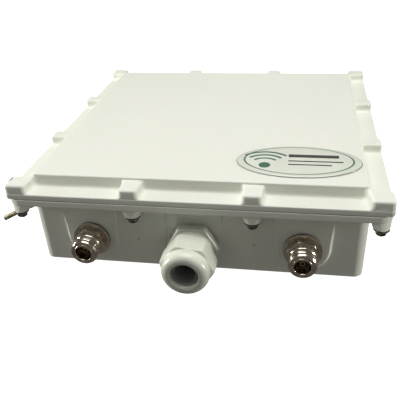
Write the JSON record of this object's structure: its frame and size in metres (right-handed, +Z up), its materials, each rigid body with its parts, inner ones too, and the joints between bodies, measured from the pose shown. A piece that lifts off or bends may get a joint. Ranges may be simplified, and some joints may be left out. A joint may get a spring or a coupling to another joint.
{
  "type": "outdoor wireless bridge",
  "caption": "Square die-cast outdoor radio housing with a screwed lid, two antenna sockets, a cable gland, an earth lug and a radio board inside.",
  "frame": {"origin": "centre of the flat underside, the face that a mast bracket bolts to", "axes": "+Z up out of the lid; -Y out of the connector wall; +X to the right when facing that wall"},
  "size_m": [0.2291, 0.238, 0.06],
  "materials": {
    "cast_paint": "cast aluminium, warm white powder paint, fine orange peel",
    "badge": "clear domed resin over a printed oval",
    "black_steel": "blackened steel, light oil",
    "nickel": "nickel plate with a warm tarnish",
    "yellow_zinc": "yellow passivated zinc plate",
    "bright_zinc": "bright zinc plate",
    "rubber": "black elastomer, matte",
    "seal_silicone": "grey silicone, matte",
    "gland_nylon": "light grey moulded nylon, satin",
    "white_fluoro": "white fluoropolymer",
    "gold_plate": "gold plate",
    "board_green": "solder-masked glass epoxy",
    "chip_black": "moulded epoxy",
    "black_anodised": "black anodised",
    "tin_plate": "tin plate",
    "coax_brown": "extruded coaxial jacket",
    "can_sleeve": "shrunk sleeve over an aluminium can"
  },
  "bodies": {
    "housing": {"base_housing": "cast_paint", "lid_gasket": "seal_silicone", "gland_body": "gland_nylon", "gland_lock_nut": "gland_nylon", "gland_face_seal": "rubber", "earth_star_washer": "bright_zinc", "main_board": "board_green", "ethernet_jack": "tin_plate", "processor": "chip_black", "heat_sink": "black_anodised", "memory_chip": "chip_black", "network_transformer": "chip_black", "power_inductor": "black_anodised", "radio_socket": "chip_black", "radio_card": "board_green", "radio_shield": "tin_plate", "capacitor_1": "can_sleeve", "capacitor_2": "can_sleeve", "bracket_insert_1": "bright_zinc", "bracket_insert_2": "bright_zinc", "bracket_insert_3": "bright_zinc", "bracket_insert_4": "bright_zinc", "board_screw_1": "bright_zinc", "board_screw_2": "bright_zinc", "board_screw_3": "bright_zinc", "board_screw_4": "bright_zinc", "antenna_socket_left": "nickel", "socket_insulator_left": "white_fluoro", "socket_contact_left": "gold_plate", "socket_seal_left": "rubber", "socket_nut_left": "nickel", "antenna_lead_left": "coax_brown", "lead_plug_left": "gold_plate", "antenna_socket_right": "nickel", "socket_insulator_right": "white_fluoro", "socket_contact_right": "gold_plate", "socket_seal_right": "rubber", "socket_nut_right": "nickel", "antenna_lead_right": "coax_brown", "lead_plug_right": "gold_plate"},
    "lid": {"lid": "cast_paint", "lid_badge": "badge"},
    "gland_clamp": {"gland_seal": "rubber", "gland_claws": "gland_nylon"},
    "gland_cap": {"gland_cap": "gland_nylon"},
    "earth_lug": {"earth_lug": "yellow_zinc"},
    "earth_screw": {"earth_screw": "bright_zinc"},
    "lid_screw_01": {"lid_screw_01": "black_steel"},
    "lid_screw_02": {"lid_screw_02": "black_steel"},
    "lid_screw_03": {"lid_screw_03": "black_steel"},
    "lid_screw_04": {"lid_screw_04": "black_steel"},
    "lid_screw_05": {"lid_screw_05": "black_steel"},
    "lid_screw_06": {"lid_screw_06": "black_steel"},
    "lid_screw_07": {"lid_screw_07": "black_steel"},
    "lid_screw_08": {"lid_screw_08": "black_steel"},
    "lid_screw_09": {"lid_screw_09": "black_steel"},
    "lid_screw_10": {"lid_screw_10": "black_steel"},
    "lid_screw_11": {"lid_screw_11": "black_steel"},
    "lid_screw_12": {"lid_screw_12": "black_steel"}
  },
  "joints": [
    {"name": "lid_lift", "type": "slide", "parent": "housing", "child": "lid", "axis": [0, 0, 1], "range_m": [0, 0.08]},
    {"name": "gland_cap_travel", "type": "slide", "parent": "housing", "child": "gland_clamp", "axis": [0, -1, 0], "range_m": [-0.0031, 0.0046]},
    {"name": "gland_cap_turn", "type": "hinge", "parent": "gland_clamp", "child": "gland_cap", "pos_m": [0, -0.12, 0.019], "axis": [0, -1, 0], "range_deg": [-720, 1080]},
    {"name": "earth_lug_swivel", "type": "hinge", "parent": "housing", "child": "earth_lug", "pos_m": [-0.0993, -0.064, 0.0312], "axis": [-1, 0, 0], "range_deg": [-45, 30]},
    {"name": "earth_screw_out", "type": "slide", "parent": "housing", "child": "earth_screw", "axis": [-1, 0, 0], "range_m": [0, 0.01]},
    {"name": "lid_screw_out_01", "type": "slide", "parent": "housing", "child": "lid_screw_01", "axis": [0, 0, -1], "range_m": [0, 0.0075]},
    {"name": "lid_screw_out_02", "type": "slide", "parent": "housing", "child": "lid_screw_02", "axis": [0, 0, -1], "range_m": [0, 0.0075]},
    {"name": "lid_screw_out_03", "type": "slide", "parent": "housing", "child": "lid_screw_03", "axis": [0, 0, -1], "range_m": [0, 0.0075]},
    {"name": "lid_screw_out_04", "type": "slide", "parent": "housing", "child": "lid_screw_04", "axis": [0, 0, -1], "range_m": [0, 0.0075]},
    {"name": "lid_screw_out_05", "type": "slide", "parent": "housing", "child": "lid_screw_05", "axis": [0, 0, -1], "range_m": [0, 0.0075]},
    {"name": "lid_screw_out_06", "type": "slide", "parent": "housing", "child": "lid_screw_06", "axis": [0, 0, -1], "range_m": [0, 0.0075]},
    {"name": "lid_screw_out_07", "type": "slide", "parent": "housing", "child": "lid_screw_07", "axis": [0, 0, -1], "range_m": [0, 0.0075]},
    {"name": "lid_screw_out_08", "type": "slide", "parent": "housing", "child": "lid_screw_08", "axis": [0, 0, -1], "range_m": [0, 0.0075]},
    {"name": "lid_screw_out_09", "type": "slide", "parent": "housing", "child": "lid_screw_09", "axis": [0, 0, -1], "range_m": [0, 0.0075]},
    {"name": "lid_screw_out_10", "type": "slide", "parent": "housing", "child": "lid_screw_10", "axis": [0, 0, -1], "range_m": [0, 0.0075]},
    {"name": "lid_screw_out_11", "type": "slide", "parent": "housing", "child": "lid_screw_11", "axis": [0, 0, -1], "range_m": [0, 0.0075]},
    {"name": "lid_screw_out_12", "type": "slide", "parent": "housing", "child": "lid_screw_12", "axis": [0, 0, -1], "range_m": [0, 0.0075]}
  ],
  "couplings": [
    {"joint": "gland_cap_travel", "follows": "gland_cap_turn", "m_per_rad": 0.00023873}
  ]
}
